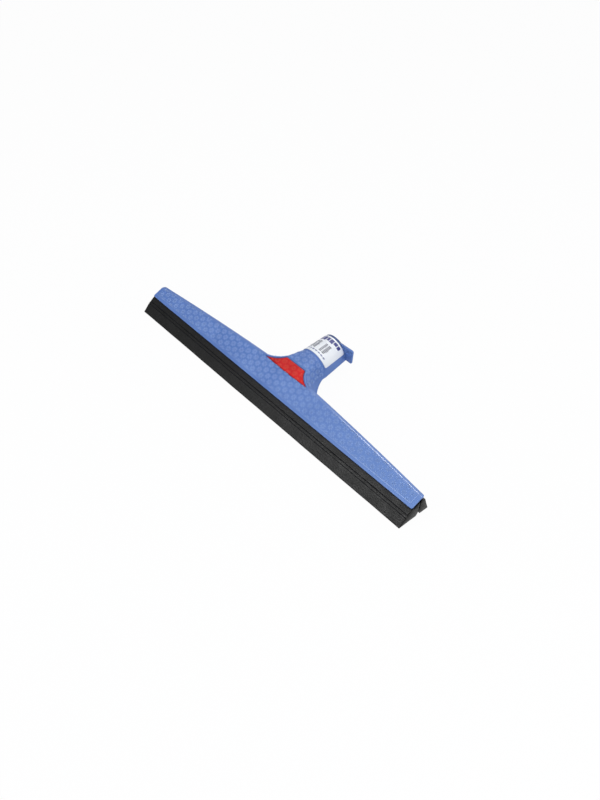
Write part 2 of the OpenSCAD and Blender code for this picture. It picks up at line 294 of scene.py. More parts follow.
def moulded_plastic(name, base, light, dark, shade, roughness, coat=0.0, fade=None, gloss=0.2):
    """Injection-moulded plastic: a faint cloudy colour, a fine eroded grain and convex edges lightened in
    patches, a painted highlight.

    Where the mesh holds a "polish" value the surface has that share of coat, and where it holds a "rim" value
    it is darker, as painted shade. Gaps and corners take painted shade in the shade colour. fade is a colour,
    the stretch of X over which the plastic turns to it, and how far: it paints light and shade along X."""
    n = Nodes(name)
    n.shader.inputs["Roughness"].default_value = roughness
    n.shader.inputs["IOR"].default_value = PLASTIC_IOR
    n.shader.inputs["Specular IOR Level"].default_value = gloss
    if coat:
        polish = n.add("Attribute", attribute_name="polish").outputs["Fac"]
        n.link(n.math("MULTIPLY", polish, coat), "Coat Weight")
        n.shader.inputs["Coat Roughness"].default_value = POLISH_ROUGHNESS
    cloud = n.noise(38, 4)
    color = n.ramp(cloud, (0.3, dark), (0.5, base), (0.72, light))
    speck = n.noise(900, 2)
    color = n.mix(n.grey(speck, (0.42, 0.0), (0.66, 0.35)), color, light)
    # Convex edges are lightened in patches: a painted highlight.
    edge = n.add("NewGeometry").outputs["Pointiness"]
    patchy = n.grey(n.noise(140, 3), (0.4, 0.1), (0.65, 0.6))
    edge_highlight = n.math("MULTIPLY", n.grey(edge, (0.51, 0.0), (0.56, 1.0)), patchy)
    color = n.mix(edge_highlight, color, light)
    # The fade along X paints light and shade, as each material's call sets it.
    if fade:
        other, start, end, most = fade
        along = n.add("SeparateXYZ", Vector=n.place).outputs["X"]
        turned = n.add("MapRange", Value=along, From_Min=start, From_Max=end, To_Max=most).outputs[0]
        color = n.mix(turned, color, other)
    # Where the mesh marks the socket's rim, the colour turns to the shade colour: painted shade.
    rim = n.add("Attribute", attribute_name="rim").outputs["Fac"]
    color = n.mix(n.math("MULTIPLY", rim, RIM_SHADE), color, shade)
    # Painted shade in gaps and corners, in the shade colour.
    color = n.crevice_shade(color, shade, PLASTIC_SHADE_REACH)
    n.link(color, "Base Color")
    scuff = n.noise(60, 5)
    n.link(n.grey(scuff, (0.35, roughness - 0.07), (0.7, roughness + 0.1)), "Roughness")
    grain = n.bump(n.noise(2600, 2), 0.00005, 0.5)
    n.link(n.bump(n.noise(90, 2), 0.0002, 0.25, grain), "Normal")
    return n.material


def foam_rubber(name, bright):
    """Closed-cell sponge rubber: dark and matt, with open pores, paler cut ends and a faint bloom.

    bright is how much of its colour is left over near black."""
    n = Nodes(name)
    cells = n.add("TexVoronoi", Vector=n.place, Scale=900.0).outputs["Distance"]
    large = n.add("TexVoronoi", Vector=n.place, Scale=330.0).outputs["Distance"]
    pores = n.grey(large, (0.04, 0.0), (0.22, 1.0))
    tint = n.ramp(n.noise(40, 3), (0.3, srgb(13, 14, 13)), (0.7, srgb(18, 18, 18)))
    grit = n.noise(850, 2)
    tint = n.mix(n.grey(grit, (0.5, 0.0), (0.68, 0.6)), tint, srgb(41, 41, 43))
    tint = n.mix(n.grey(grit, (0.32, 0.6), (0.5, 0.0)), tint, srgb(9, 10, 9))
    geometry = n.add("NewGeometry")
    # Concave grooves are darkened: painted shade.
    groove_shade = n.grey(geometry.outputs["Pointiness"], (0.44, 1.0), (0.49, 0.0))
    tint = n.mix(groove_shade, tint, srgb(8, 8, 9))
    facing = n.add("SeparateXYZ", Vector=geometry.outputs["Normal"]).outputs["X"]
    cut_end = n.grey(n.math("ABSOLUTE", facing), (0.6, 0.0), (0.9, 0.8))
    tint = n.mix(cut_end, tint, srgb(22, 22, 20))
    n.shader.inputs["Specular IOR Level"].default_value = FOAM_GLOSS
    tint = n.mix(pores, srgb(9, 9, 9), tint)
    # Gaps and corners are darkened towards navy, such as under the panel's lower edge: painted shade.
    tint = n.crevice_shade(n.mix(bright, srgb(5, 5, 5), tint), srgb(6, 8, 22), FOAM_SHADE_REACH)
    n.link(tint, "Base Color")
    n.link(n.grey(n.noise(110, 3), (0.3, 0.36), (0.7, 0.46)), "Roughness")
    fine = n.bump(cells, 0.00018, 0.6)
    n.link(n.bump(pores, 0.0002, 0.6, fine), "Normal")
    return n.material


def label_paper():
    """Coated paper with a faint mottle."""
    n = Nodes("label_paper")
    n.shader.inputs["Roughness"].default_value = 0.4
    n.shader.inputs["Coat Weight"].default_value = 0.1
    n.shader.inputs["Coat Roughness"].default_value = 0.2
    tones = (0.3, srgb(234, 238, 243)), (0.6, srgb(241, 244, 247)), (0.8, srgb(246, 247, 249))
    fibre = n.grey(n.noise(700, 3), (0.5, 0.0), (0.7, 0.3))
    n.link(n.mix(fibre, n.ramp(n.noise(70, 4), *tones), srgb(224, 229, 238)), "Base Color")
    n.link(n.grey(n.noise(120, 3), (0.3, 0.34), (0.7, 0.5)), "Roughness")
    n.link(n.bump(n.noise(260, 3), 0.00012, 0.5), "Normal")
    return n.material


def print_ink(name, color, worn):
    """Printing ink, a little worn in places."""
    n = Nodes(name)
    n.shader.inputs["Roughness"].default_value = 0.42
    n.link(n.mix(n.grey(n.noise(900, 3), (0.5, 0.0), (0.75, 0.6)), color, worn), "Base Color")
    n.link(n.bump(n.noise(1500, 2), 0.00003, 0.4), "Normal")
    return n.material


def extruded_plastic():
    """The lip carrier's plain grey plastic."""
    n = Nodes("carrier_plastic")
    n.shader.inputs["Roughness"].default_value = 0.5
    n.link(n.ramp(n.noise(60, 3), (0.3, srgb(70, 72, 76)), (0.7, srgb(86, 88, 92))), "Base Color")
    n.link(n.bump(n.noise(700, 2), 0.0001, 0.4), "Normal")
    return n.material


# Shapes of the housing's outer surface

def panel_width(x):
    """How wide the front panel is at x, measured up its slope."""
    t = max(0.0, (abs(x) - MID_HALF) / (HOUSING_HALF - MID_HALF))
    return PANEL_MID_W + (PANEL_END_W - PANEL_MID_W) * t + 4 * PANEL_BOW * t * (1 - t)


def panel_point(x, u, lift=0.0):
    """A point on the front panel: u up its slope from the lower edge, lift above it, in millimetres."""
    y = LOW_Y + u * math.cos(SLOPE) - lift * math.sin(SLOPE) - MID_Y
    z = LOW_Z + u * math.sin(SLOPE) + lift * math.cos(SLOPE)
    return np.array([x, y, z])


PANEL_NORMAL = np.array([0.0, -math.sin(SLOPE), math.cos(SLOPE)])


def panel_surface(x, u):
    """The panel's surface at x, running on over the rounded ridge, and its normal."""
    start = panel_width(x) - RIDGE_R * math.tan((SLOPE + BAND_SLOPE) / 2)
    if u <= start:
        return panel_point(x, u), PANEL_NORMAL
    turn = min((u - start) / RIDGE_R, SLOPE + BAND_SLOPE)
    rest = max(0.0, u - start - RIDGE_R * (SLOPE + BAND_SLOPE))
    centre = panel_point(x, start, -RIDGE_R)
    lean = SLOPE - turn
    normal = np.array([0.0, -math.sin(lean), math.cos(lean)])
    along = np.array([0.0, math.cos(BAND_SLOPE), -math.sin(BAND_SLOPE)])
    return centre + normal * RIDGE_R + along * rest, normal


def up_panel(y, z):
    """How far up the panel's slope a point lies, from its lower edge."""
    return (y + MID_Y - LOW_Y) * math.cos(SLOPE) + (z - LOW_Z) * math.sin(SLOPE)


def from_mouth(x, y, z):
    """How far a point is behind the socket's mouth, and how high above the socket's axis."""
    off = np.array([x, y, z]) - MOUTH
    return -np.dot(off, OUT), np.dot(off, UP)


def crest(a):
    """The height of the neck's crest above the socket's axis, at a from the mouth."""
    if a <= NECK_LEN:
        return SOCKET_R + SOCKET_DRAFT * a
    return CREST_M - (a - NECK_LEN) * math.tan(SLOPE - TILT)


def socket_point(x, h, a):
    """A point at a distance a from the socket's mouth and h above its axis, in millimetres."""
    return MOUTH - OUT * a + UP * h + np.array([x, 0.0, 0.0])


def neck_profile(a):
    """The neck's section at a: its corner and the corner's radius, its foot, its top, the lean of its flank
    and how far before the corner the round begins."""
    s = clamp((a - SOCKET_LEN) / (NECK_LEN - SOCKET_LEN))
    low_r = SOCKET_R + SOCKET_DRAFT * SOCKET_LEN - SHOULDER
    spread = NECK_SPREAD - CORNER_BACK + CORNER_DRAW - low_r
    corner = low_r - CORNER_DRAW * s + spread * s ** CORNER_POWER
    foot_x = low_r - FOOT_IN + (NECK_SPREAD + FOOT_IN - low_r) * s ** FOOT_POWER
    foot_h = -FOOT_LOW * SOCKET_BACK + FOOT_LIFT * s + FOOT_RISE * s ** FOOT_RISE_POWER
    top = crest(a) - SHOULDER * (1 - s) ** 3
    lean = math.atan((foot_x - corner) / (top - foot_h))
    half = math.tan((math.pi / 2 - lean) / 2)
    round_r = low_r * (1 - s) ** ROUND_POWER + ROUND_END * s
    radius = min(max(CORNER_LEAST, round_r), (corner - FLAT_LEAST) / half)
    return corner, radius, foot_x, foot_h, top, lean, radius * half


def neck_point(q, a):
    """The neck's surface at a, q millimetres round it from the middle of its top, and its normal."""
    corner, radius, _, _, top, lean, back = neck_profile(a)
    side = 1.0 if q >= 0 else -1.0
    q = abs(q)
    flat = corner - back
    bend = radius * (math.pi / 2 - lean)
    if q <= flat:
        x, h, nx, nh = q, top, 0.0, 1.0
    elif q <= flat + bend:
        turn = (q - flat) / radius
        x = flat + radius * math.sin(turn)
        h = top - radius + radius * math.cos(turn)
        nx, nh = math.sin(turn), math.cos(turn)
    else:
        run = q - flat - bend
        nx, nh = math.cos(lean), math.sin(lean)
        x = flat + radius * math.cos(lean) + run * math.sin(lean)
        h = top - radius + radius * math.sin(lean) - run * math.cos(lean)
    point = socket_point(side * x, h, a)
    normal = UP * nh + np.array([side * nx, 0.0, 0.0])
    return point, normal / np.linalg.norm(normal)


# The moulded texture: daisies of eight petals on a six-sided grid

DAISY_ROW = 3.95
DAISY_STEP = 13.4
DAISY_SHIFT = 2.75
DAISY_R = 3.45
PETALS = 8
PETAL_LEN = 2.95
PETAL_W = 0.58
PETAL_TAPER = 0.35
PETAL_RISE = 0.22
BORDER = 3.4
FLANK_SHARE = 0.62


def daisy_grid(half, rows, low):
    """Middles of the daisies: rows along X, with every second row moved by half a step."""
    count = int(half / DAISY_STEP) + 2
    for row in range(rows):
        shift = DAISY_SHIFT + (DAISY_STEP / 2 if row % 2 else 0.0)
        for i in range(-count, count + 1):
            yield i * DAISY_STEP + shift, low + row * DAISY_ROW


def petal(middle, along, across, normal):
    """A petal as a low dome: its rim lies just under the surface and its back is closed."""
    rim, rings = 12, ((1.0, -0.12), (0.82, 0.62), (0.45, 0.95))
    verts = []
    for scale, rise in rings:
        for k in range(rim):
            t = 2 * math.pi * k / rim
            reach = PETAL_LEN / 2 * math.cos(t) * scale
            width = PETAL_W / 2 * math.sin(t) * scale * (1 + PETAL_TAPER * math.cos(t))
            verts.append(middle + along * reach + across * width + normal * rise * PETAL_RISE)
    verts.append(middle + normal * PETAL_RISE)
    verts.append(middle - normal * 0.3 * PETAL_RISE)
    faces = tube_faces(len(rings), rim)
    last = (len(rings) - 1) * rim
    top, under = len(verts) - 2, len(verts) - 1
    for k in range(rim):
        faces.append((last + k, last + (k + 1) % rim, top))
        faces.append(((k + 1) % rim, k, under))
    return verts, faces


def daisies(places, surface, inside):
    """Petals round each place (p, q), put on surface(p, q) wherever inside(p, q) holds."""
    verts, faces = [], []
    reach = PETAL_LEN / 2
    out = DAISY_R - reach
    for p, q in places:
        for k in range(PETALS):
            turn = 2 * math.pi * (k + 0.5) / PETALS
            run, rise = math.cos(turn), math.sin(turn)
            pp, qq = p + out * run, q + out * rise
            ends = [(pp + side * reach * run, qq + side * reach * rise) for side in (-1, 1)]
            if not all(inside(*end) for end in ends):
                continue
            point, normal = surface(pp, qq)
            ahead, _ = surface(pp + 0.1 * run, qq + 0.1 * rise)
            along = ahead - point
            along = along - normal * np.dot(along, normal)
            along /= np.linalg.norm(along)
            across = np.cross(normal, along)
            more, quads = petal(point, along, across, normal)
            base = len(verts)
            verts += [v * MM for v in more]
            faces += [tuple(base + i for i in f) for f in quads]
    return verts, faces


def insert_half(t):
    """Half width of the insert, t running from 0 at its upper edge to 1 at its lower tips."""
    t = clamp(t)
    widen = (INSERT_LOW_HALF - INSERT_TOP_HALF) * t ** INSERT_POWER
    return INSERT_TOP_HALF + widen + INSERT_SWELL * math.sin(math.pi * t)


def insert_place(a):
    """The insert's t at a from the mouth."""
    return (a - (NECK_LEN - INSERT_LEN)) / INSERT_LEN


def on_insert(q, a, room):
    """Whether a point of the neck lies on the insert or within room of it."""
    t = insert_place(a)
    return -room / INSERT_LEN < t < 1 + room / INSERT_LEN and abs(q) < insert_half(t) + room


def panel_texture(material):
    """Daisies on the panel, from its border up over the ridge."""
    over_ridge = RIDGE_R * (SLOPE + BAND_SLOPE) / 2

    def inside(x, u):
        return abs(x) < HOUSING_HALF - BORDER and BORDER < u < panel_width(x) + over_ridge - 0.3
    places = list(daisy_grid(HOUSING_HALF, 8, BORDER))
    verts, faces = daisies(places, panel_surface, inside)
    add_piece("panel_daisies", verts, faces, material)


def neck_texture(material, shell):
    """Daisies on the neck, set on the shell's own surface so that none sinks into it."""
    tree = BVHTree.FromObject(shell, bpy.context.evaluated_depsgraph_get())

    def surface(q, a):
        point, normal = neck_point(q, a)
        near, facing, _, far = tree.find_nearest(Vector(point) * MM)
        if near is None or far > 1.5 * MM or facing.dot(Vector(normal)) < 0.7:
            return point, normal
        blend = np.array(facing) + normal
        return np.array(near) / MM, blend / np.linalg.norm(blend)

    low_a, high_a = SOCKET_LEN + 1.2, NECK_LEN - 1.4

    def inside(q, a):
        if not low_a < a < high_a or on_insert(q, a, 1.0):
            return False
        corner, radius, _, foot_h, top, lean, back = neck_profile(a)
        flank = (top - radius - foot_h) / math.cos(lean)
        parting = corner - back + radius * (math.pi / 2 - lean) + FLANK_SHARE * flank
        return abs(q) < parting
    places = [(q, NECK_LEN - 1.0 - v) for q, v in daisy_grid(48, 11, 0.0)]
    verts, faces = daisies(places, surface, inside)
    add_piece("neck_daisies", verts, faces, material)


def insert_texture(material):
    """Daisies on the red insert."""
    def inside(q, a):
        return on_insert(q, a, -0.7) and insert_place(a) > 0.04

    def surface(q, a):
        return socket_point(q, insert_top(q, a, 0.0), a), UP
    places = [(q, NECK_LEN - 1.0 - v) for q, v in daisy_grid(40, 5, 0.0)]
    verts, faces = daisies(places, surface, inside)
    add_piece("insert_daisies", verts, faces, material)


def bead(name, path, normal, radius, material):
    """A thin raised line along a path of points in millimetres, on a surface with this normal."""
    sides, flatness = 8, 0.7
    verts = []
    for i, p in enumerate(path):
        before, after = path[max(i - 1, 0)], path[min(i + 1, len(path) - 1)]
        along = (after - before) / np.linalg.norm(after - before)
        across = np.cross(normal, along)
        across /= np.linalg.norm(across)
        for k in range(sides):
            t = 2 * math.pi * k / sides
            verts.append((p + across * radius * math.cos(t) + normal * radius * flatness * math.sin(t)) * MM)
    return add_piece(name, verts, closed_tube(len(path), sides), material)


def panel_border(material):
    """The fine raised line round the textured field: along the lower edge and up both ends."""
    turn_r, steps, line_r = 1.4, 6, 0.38
    right = HOUSING_HALF - BORDER
    corner = [(right - turn_r, BORDER)]
    for i in range(1, steps + 1):
        t = math.pi / 2 * i / steps
        corner.append((right - turn_r + turn_r * math.sin(t), BORDER + turn_r - turn_r * math.cos(t)))
    top = panel_width(right) - turn_r
    climb = [(right, BORDER + turn_r + (top - BORDER - turn_r) * i / steps) for i in range(1, steps + 1)]
    side = corner + climb
    low = [(-right + turn_r + (2 * right - 2 * turn_r) * i / 60, BORDER) for i in range(1, 60)]
    outline = [(-x, u) for x, u in side[::-1]] + low + side
    path = [panel_point(x, u) for x, u in outline]
    bead("border_line", path, PANEL_NORMAL, line_r, material)


# Moulded shells: the solid's own form with its edges rounded as a mould rounds them

END_STRETCH = 1.1
END_LOW_R = 2.2
END_HIGH_R = 3.0
MOUTH_EDGE_R = 1.5
TAB_X = 13.0
RIDGE_OFF = 0.35
RIDGE_SMOOTH_X = 55
POLISH_X = 60
POLISH_HALF = 1.5
RIM_W = 2.1
SHELL_VOXEL = 0.5
SHELL_KEEP = 0.45
FLANK_ROUNDS = 40
SHELL_ROUNDS = 3


def round_ends(mesh):
    """Rounds the housing's four end corners, seen square to the panel, which a mould never leaves sharp."""
    count = len(mesh.vertices)
    flat = np.empty(count * 3)
    mesh.vertices.foreach_get("co", flat)
    p = flat.reshape(-1, 3) / MM
    u = up_panel(p[:, 1], p[:, 2])
    side = np.sign(p[:, 0])
    x = np.abs(p[:, 0])
    x += END_STRETCH * np.clip((x - HOUSING_HALF + 10) / 10, 0, 1)
    low_r, high_r = END_LOW_R, END_HIGH_R
    end = HOUSING_HALF + END_STRETCH
    near = (x > end - low_r) & (u < low_r) & (p[:, 2] > LIP_H - 1)
    dx, du = x - (end - low_r), u - low_r
    far = np.hypot(dx, du)
    pull = near & (far > low_r)
    scale = np.where(pull, low_r / np.maximum(far, 1e-6), 1.0)
    new_x = np.where(pull, end - low_r + dx * scale, x)
    shift = np.where(pull, du * (scale - 1), 0.0)
    p[:, 1] += shift * math.cos(SLOPE)
    p[:, 2] += shift * math.sin(SLOPE)
    back = np.array([panel_point(v, panel_width(v))[1] for v in x]) + BAND_L * math.cos(BAND_SLOPE)
    dx, dy = new_x - (end - high_r), p[:, 1] - (back - high_r)
    far = np.hypot(dx, dy)
    pull = (dx > 0) & (dy > 0) & (far > high_r)
    scale = np.where(pull, high_r / np.maximum(far, 1e-6), 1.0)
    new_x = np.where(pull, end - high_r + dx * scale, new_x)
    p[:, 1] += np.where(pull, dy * (scale - 1), 0.0)
    p[:, 0] = side * new_x
    mesh.vertices.foreach_set("co", (p * MM).ravel())
    mesh.update()


def off_ridge(x, y, z):
    """How far a point lies from the line along the wings' ridge, up or down the panel."""
    return abs(up_panel(y, z) - panel_width(x) + RIDGE_OFF)


def mark_polish_and_rim_shade(mesh):
    """Marks the wings' ridge, which handling has polished, and the socket's rim by the label, to be painted
    darker as shade.
    """
    polished, painted_rim_shade = [], []
    for vertex in mesh.vertices:
        x, y, z = vertex.co / MM
        a, h = from_mouth(x, y, z)
        r = math.hypot(x, h)
        outer = clamp((r - SOCKET_R + RIM_W) / 0.5) * clamp((LABEL_TOP + 0.3 - a) / 0.4)
        painted_rim_shade.append(outer if x < TAB_X - 1 and r < SOCKET_R + 1 else 0.0)
        near = clamp((POLISH_HALF - off_ridge(x, y, z)) / 0.6)
        polished.append(clamp((abs(x) - POLISH_X) / 60) * near)
    mesh.attributes.new("polish", "FLOAT", "POINT").data.foreach_set("value", polished)
    mesh.attributes.new("rim", "FLOAT", "POINT").data.foreach_set("value", painted_rim_shade)


def round_mouth(mesh):
    """Rounds the socket's outer edge at its mouth, up to where the hanging tab joins it."""
    edge = MOUTH_EDGE_R
    for vertex in mesh.vertices:
        x, y, z = vertex.co / MM
        a, h = from_mouth(x, y, z)
        r = math.hypot(x, h)
        share = clamp((TAB_X - x) / 3) * clamp((h + 4) / 3)
        if a < edge and r > BORE_R + 1 and share > 0:
            drop = (edge - math.sqrt(max(0.0, edge ** 2 - (edge - max(0.0, a)) ** 2))) * share
            limit = SOCKET_R + SOCKET_DRAFT * a - drop
            if r > limit:
                moved = MOUTH - OUT * a + UP * h * limit / r + np.array([x * limit / r, 0, 0])
                vertex.co = Vector(moved) * MM
    mesh.update()


def smoother_parts(obj):
    """Marks the neck's flanks, clear of the insert's recess, and the wings' ridge, to be smoothed further."""
    group = obj.vertex_groups.new(name="flanks")
    for vertex in obj.data.vertices:
        x, y, z = vertex.co / MM
        a, h = from_mouth(x, y, z)
        along = min((abs(x) - RIDGE_SMOOTH_X) / 10, (HOUSING_HALF - 6 - abs(x)) / 4)
        ridge = min(along, 1.2 - off_ridge(x, y, z) / 2.5, 1.0)
        if ridge > 0:
            group.add([vertex.index], ridge, "REPLACE")
        if not SOCKET_LEN - 1 < a < NECK_LEN - 3 or abs(x) < BORE_R + 3:
            continue
        clear = abs(x) - insert_half(insert_place(a)) if insert_place(a) > -0.15 else 9.0
        weight = min(1.0, (a - SOCKET_LEN + 1) / 3, (NECK_LEN - 3 - a) / 4, clear / 3 - 0.6)
        if weight > 0 and h > -10:
            group.add([vertex.index], weight, "REPLACE")


def make_shell(material):
    """The housing: its solid meshed evenly, with softened edges, rounded corners and a rounded mouth."""
    obj = finish_piece("housing_shell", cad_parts["housing"].data.copy(), material)
    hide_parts("housing")
    remesh = obj.modifiers.new("even", "REMESH")
    remesh.mode = "VOXEL"
    remesh.voxel_size = SHELL_VOXEL * MM
    remesh.use_smooth_shade = True
    apply_modifiers(obj)
    smoother_parts(obj)
    flanks = obj.modifiers.new("flanks", "SMOOTH")
    flanks.factor = 0.5
    flanks.iterations = FLANK_ROUNDS
    flanks.vertex_group = "flanks"
    soften = obj.modifiers.new("soften", "SMOOTH")
    soften.factor = 0.5
    soften.iterations = SHELL_ROUNDS
    lighten = obj.modifiers.new("lighten", "DECIMATE")
    lighten.ratio = SHELL_KEEP
    apply_modifiers(obj)
    round_ends(obj.data)
    round_mouth(obj.data)
    mark_polish_and_rim_shade(obj.data)
    dress(obj.data, material)
    return obj


# The insert: its own plate with rounded edges, a crease down each side and a gap all round

INSERT_GAP = 0.45
CREASE_HALF = 15.0
CREASE_DROP = 0.75
INSERT_EDGE_R = 0.55


def insert_low(q):
    """How far the insert's lower edge is from the mouth, at q from its middle."""
    return NECK_LEN - INSERT_EDGE + INSERT_BULGE * math.cos(math.pi / 2 * min(1.0, abs(q) / INSERT_LOW_HALF))


def insert_top(q, a, inset):
    """The insert's upper face above the socket's axis: it falls away outside each crease."""
    drop = CREASE_DROP * max(0.0, abs(q) - CREASE_HALF) / (INSERT_LOW_HALF - CREASE_HALF)
    return crest(a) - INSERT_SUNK - inset - drop


def make_insert(material):
    """The insert's plate and its two posts."""
    across, along, edge_r = 72, 30, INSERT_EDGE_R
    high_a = NECK_LEN - INSERT_LEN - INSERT_EDGE + INSERT_GAP
    verts = []
    for j in range(along + 1):
        # Rows and columns lie closer together towards the edges, where the rounding is
        v = 0.5 - 0.5 * math.cos(math.pi * j / along)
        half = insert_half(v) - INSERT_GAP
        for i in range(across + 1):
            w = -math.cos(math.pi * i / across)
            q = w * half
            low_a = insert_low(q) - INSERT_GAP
            a = high_a + v * (low_a - high_a)
            room = min((1 - abs(w)) * half, a - high_a, low_a - a)
            short = max(0.0, edge_r - room)
            inset = edge_r - math.sqrt(max(0.0, edge_r ** 2 - short ** 2))
            verts.append(socket_point(q, insert_top(q, a, inset), a) * MM)
    row = across + 1
    faces = [(j * row + i, j * row + i + 1, (j + 1) * row + i + 1, (j + 1) * row + i)
             for j in range(along) for i in range(across)]
    rim = list(range(across + 1)) + [j * row + across for j in range(1, along + 1)]
    rim += [along * row + i for i in range(across - 1, -1, -1)] + [j * row for j in range(along - 1, 0, -1)]
    base = len(verts)
    for k in rim:
        verts.append(np.array(verts[k]) - UP * (INSERT_T - edge_r + 0.1) * MM)
    for i in range(len(rim)):
        n = (i + 1) % len(rim)
        faces.append((rim[n], rim[i], base + i, base + n))
    faces.append(tuple(base + i for i in range(len(rim))))
    plate = add_piece("insert_plate", verts, faces, material)
    turn_outward(plate.data)
    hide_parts("accent_insert")
    for side, name in ((-1, "insert_post_left"), (1, "insert_post_right")):
        insert_post(name, side * POST_X, material)


def insert_post(name, x, material):
    """A snap post under the insert, with a rounded end inside the hollow neck."""
    top, low = CREST_M - INSERT_SUNK - INSERT_T, CREST_M - NECK_WALL - POST_PAST
    profile = [
        (POST_R * 0.9, top), (POST_R * 0.9, low + 1.5), (POST_R, low + 1.1), (POST_R * 0.8, low + 0.3),
        (POST_R * 0.4, low),
    ]
    sides = 24
    verts = []
    for r, h in profile:
        for k in range(sides):
            t = 2 * math.pi * k / sides
            verts.append(socket_point(x + r * math.cos(t), h, NECK_LEN - POST_BACK + r * math.sin(t)) * MM)
    add_piece(name, verts, closed_tube(len(profile), sides), material)


# Foam lips

FOAM_SPACING = 0.9
FOAM_STEP = 1.3
FOAM_INSET = 0.12
FIT_GAP = 0.15
KEEL_HALF = 0.7
CARRIER_T = 1.5
CARRIER_LOW_Y = UNDER_Y + 2.2
KEEL_Z = LIP_H * 0.6
FRONT_PART_Y = WEB_Y - 3.66
REAR_PART_Y = WEB_Y - 3.56
REAR_LAP = 0.9
LIP_BEND = 0.42
LIP_BULGE = 1.1
GROOVES = 0.365
GROOVE_PART = 0.078
GROOVE_W = 0.7
GROOVE_D = 0.55


def rounded_outline(corners, radius):
    """Rounds each corner of a closed outline and spaces points evenly along it."""
    points = []
    count = len(corners)
    for i in range(count):
        p = np.array(corners[i], float)
        before, after = np.array(corners[i - 1], float), np.array(corners[(i + 1) % count], float)
        d0, d1 = before - p, after - p
        l0, l1 = np.linalg.norm(d0), np.linalg.norm(d1)
        cut = min(radius[i], 0.4 * l0, 0.4 * l1)
        start, end = p + d0 / l0 * cut, p + d1 / l1 * cut
        for k in range(4):
            t = k / 3
            points.append((1 - t) ** 2 * start + 2 * t * (1 - t) * p + t ** 2 * end)
    out = []
    for i, p in enumerate(points):
        q = points[(i + 1) % len(points)]
        pieces = max(1, int(round(np.linalg.norm(q - p) / FOAM_SPACING)))
        out += [p + (q - p) * k / pieces for k in range(pieces)]
    return np.array(out)


def foam_lip(name, node, corners, radius, material, seed, pressed=None, in_groove=None):
    """A long foam strip: its outline run along X, rounded at the ends, with a slight unevenness.

    The faces between outline points for which in_groove holds take the second material, darker as painted
    shade in the grooves."""
    outline = rounded_outline(corners, radius)
    centre = outline.mean(axis=0)
    count = len(outline)
    inner = BLADE_HALF - 0.6
    runs = int(2 * inner / FOAM_STEP)
    # Each station is a place along the blade and how far the outline is drawn in there
    stations = [(-BLADE_HALF + 0.02, 0.26), (-BLADE_HALF + 0.1, 0.08)]
    stations += [(-inner + 2 * inner * i / runs, 0.0) for i in range(runs + 1)]
    stations += [(BLADE_HALF - 0.1, 0.08), (BLADE_HALF - 0.02, 0.26)]
    phase = np.random.default_rng(seed).uniform(0, 2 * math.pi, 6)
    inward = centre - outline
    inward /= np.linalg.norm(inward, axis=1)[:, None]
    around = np.arange(count) * FOAM_SPACING
    verts = []
    for x, draw in stations:
        wave = 0.05 * np.sin(x / 23 + phase[0]) + 0.035 * np.sin(x / 9.1 + around / 7 + phase[1])
        wave = wave + 0.03 * np.sin(x / 4.3 - around / 5 + phase[2]) + 0.02 * np.sin(around / 2.7 + phase[3])
        ring = outline + inward * (FOAM_INSET + draw + wave)[:, None]
        ring[:, 1] = np.maximum(ring[:, 1], 0.0)
        verts += [(x * MM, (p[0] - MID_Y) * MM, p[1] * MM) for p in ring]
    obj = add_piece(name, verts, closed_tube(len(stations), count), material)
    if pressed is not None:
        obj.data.materials.append(pressed)
        deep = [in_groove(outline[k]) and in_groove(outline[(k + 1) % count]) for k in range(count)]
        marks = [int(deep[i % count]) for i in range((len(stations) - 1) * count)] + [0, 0]
        obj.data.polygons.foreach_set("material_index", marks)
    turn_outward(obj.data)
    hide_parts(node)


def under_z(y):
    """The height of the panel's lower face at y."""
    return LIP_H + (y - UNDER_Y) * math.tan(SLOPE)


def make_lips(material, pressed):
    """Both lips: they part at the carrier's keel, and the front one has two lines pressed into its face."""
    top = np.array([UNDER_Y - 0.15, LIP_H - FIT_GAP])
    tip = np.array([FRONT_Y, 0.0])
    face = np.linalg.norm(tip - top)
    lean = (tip - top) / face
    out = np.array([lean[1], -lean[0]])

    def on_face(t):
        share = t / LIP_BEND if t < LIP_BEND else (1 - t) / (1 - LIP_BEND)
        return top + (tip - top) * t + out * LIP_BULGE * share

    def below_carrier(y):
        return min(CHANNEL_Z, under_z(y) - FIT_GAP - CARRIER_T / math.cos(SLOPE))

    def in_groove(p):
        t = np.dot(np.array(p) - top, lean) / face
        return abs(abs(t - GROOVES) - GROOVE_PART) < GROOVE_W / face * 0.62

    corners, radius = [top], [0.5]
    for at in (GROOVES - GROOVE_PART, GROOVES + GROOVE_PART):
        w = GROOVE_W / face / 2
        corners += [on_face(at - w), on_face(at - w * 0.4) - out * GROOVE_D]
        corners += [on_face(at + w * 0.4) - out * GROOVE_D, on_face(at + w)]
        radius += [0.15, 0.1, 0.1, 0.15]
    in_y, low_y = FRONT_PART_Y, CARRIER_LOW_Y
    corners += [
        tip, (FRONT_Y + FRONT_LIP_W, 0), (in_y, NOTCH_H), (in_y, KEEL_Z), (in_y - KEEL_HALF, KEEL_Z),
        (in_y - KEEL_HALF, below_carrier(in_y - KEEL_HALF)), (low_y, below_carrier(low_y)),
        (low_y, under_z(low_y) - FIT_GAP),
    ]
    radius += [0.6, 0.5, 0.4, 0.2, 0.2, 0.2, 0.2, 0.2]
    foam_lip("front_foam_lip", "front_lip", corners, radius, material, 3, pressed, in_groove)

    start = FRONT_Y + FRONT_LIP_W + NOTCH_W
    in_y = REAR_PART_Y
    corners = [
        (start, 0), (start + REAR_LIP_W, 0), (WEB_Y + WEB_T + REAR_LAP, WEB_LOW), (WEB_Y, WEB_LOW),
        (WEB_Y, CHANNEL_Z), (in_y + KEEL_HALF, CHANNEL_Z), (in_y + KEEL_HALF, KEEL_Z), (in_y, KEEL_Z),
        (in_y, NOTCH_H),
    ]
    radius = [0.5, 0.6, 0.5, 0.2, 0.2, 0.2, 0.2, 0.2, 0.4]
    foam_lip("rear_foam_lip", "rear_lip", corners, radius, material, 8)


# Label

